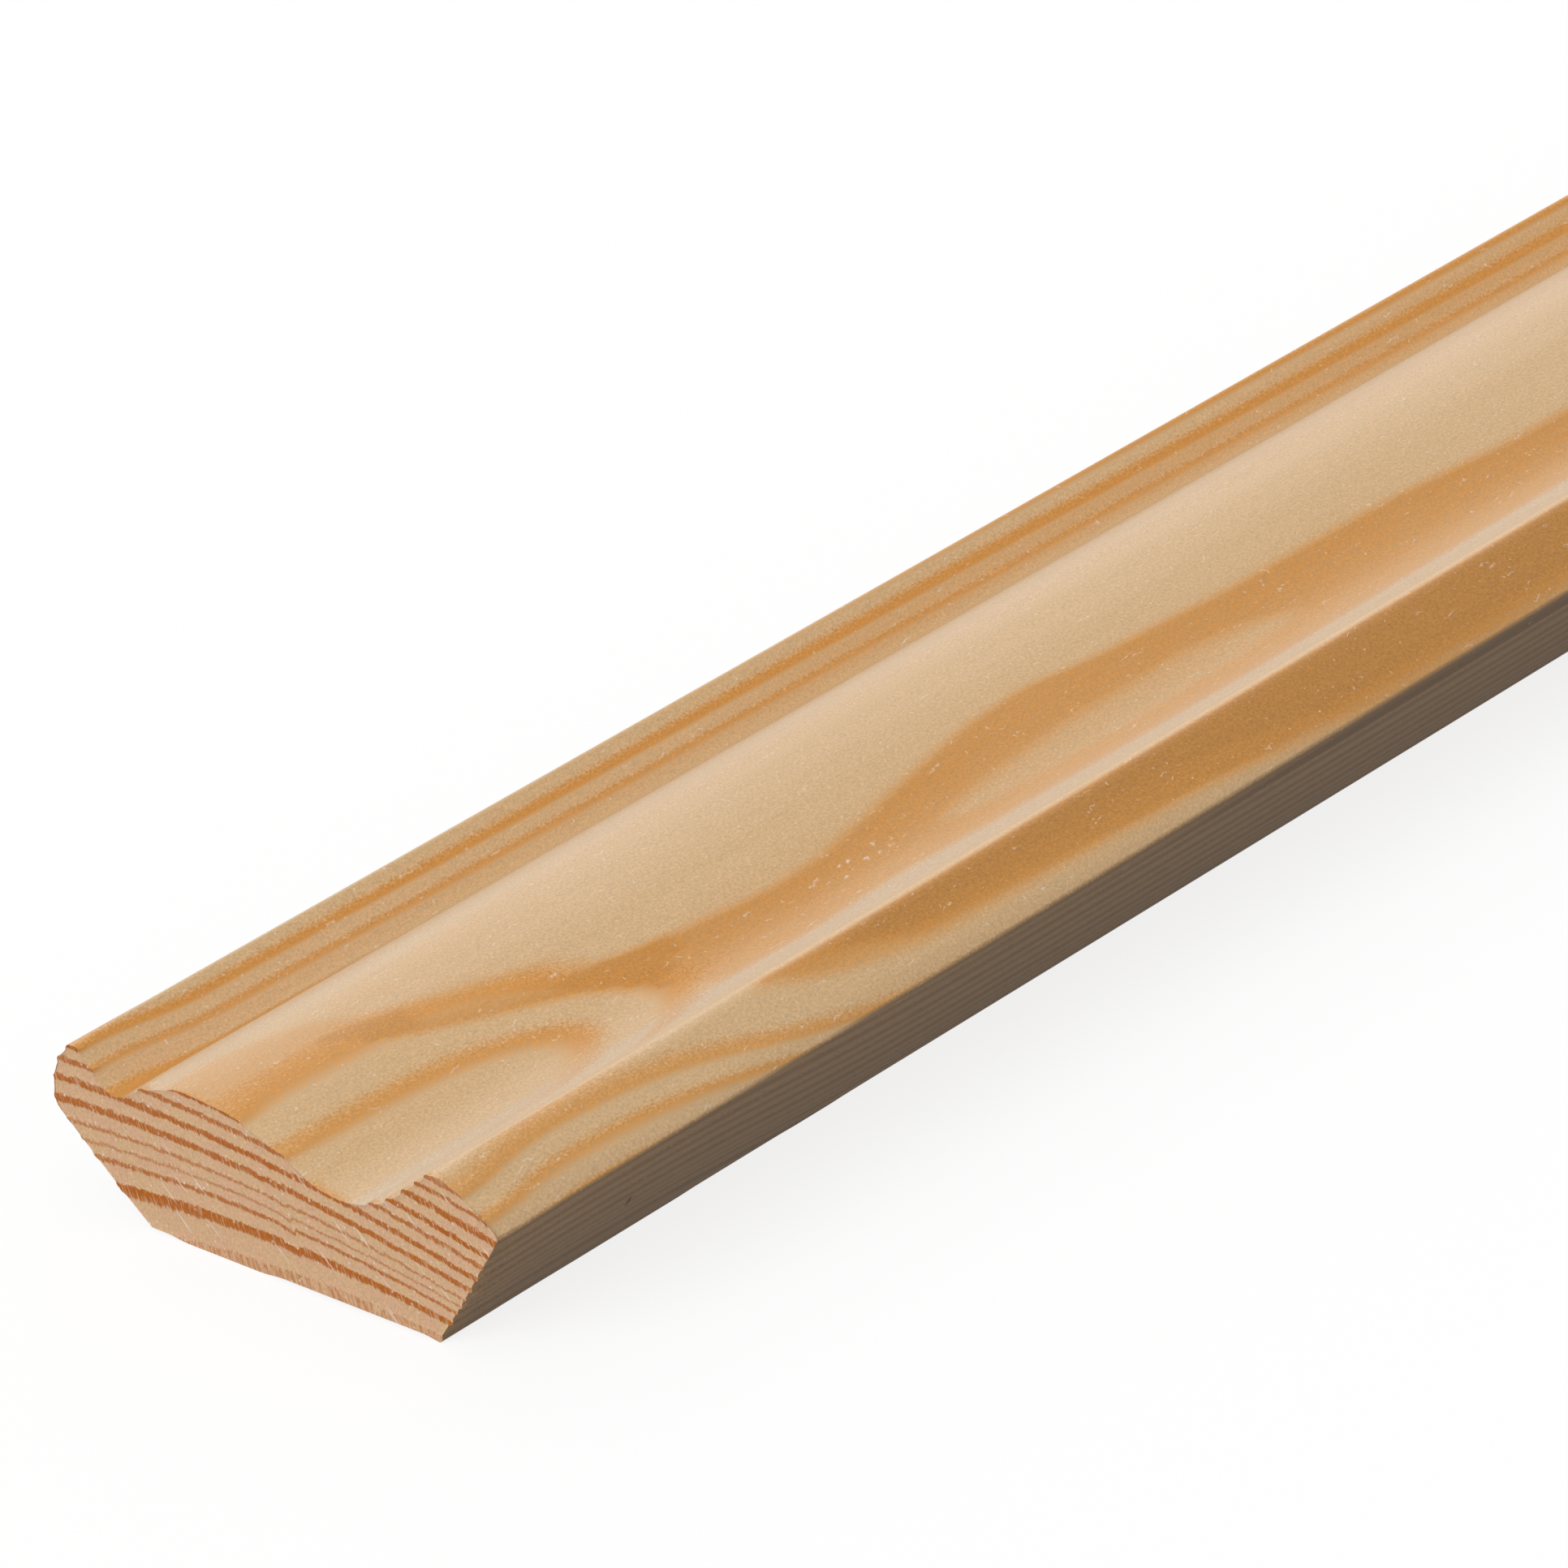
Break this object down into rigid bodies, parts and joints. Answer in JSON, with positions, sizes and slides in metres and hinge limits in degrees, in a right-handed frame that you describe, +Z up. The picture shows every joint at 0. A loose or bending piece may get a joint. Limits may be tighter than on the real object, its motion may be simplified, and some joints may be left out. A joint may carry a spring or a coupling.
{
  "type": "trim strip",
  "caption": "Softwood ceiling trim with an ogee face between a nose and a bead, and 45 degree back bevels that seat it in the corner of wall and ceiling.",
  "frame": {"origin": "on the flat back, at the middle of the length and of the width", "axes": "+X along the length away from the pictured end, +Y towards the nose edge, +Z up out of the moulded face"},
  "size_m": [2.4, 0.0438, 0.012],
  "materials": {
    "planed_pine": "planed bare pine, sawn ends"
  },
  "bodies": {
    "root": {"trim_strip": "planed_pine"}
  },
  "joints": []
}
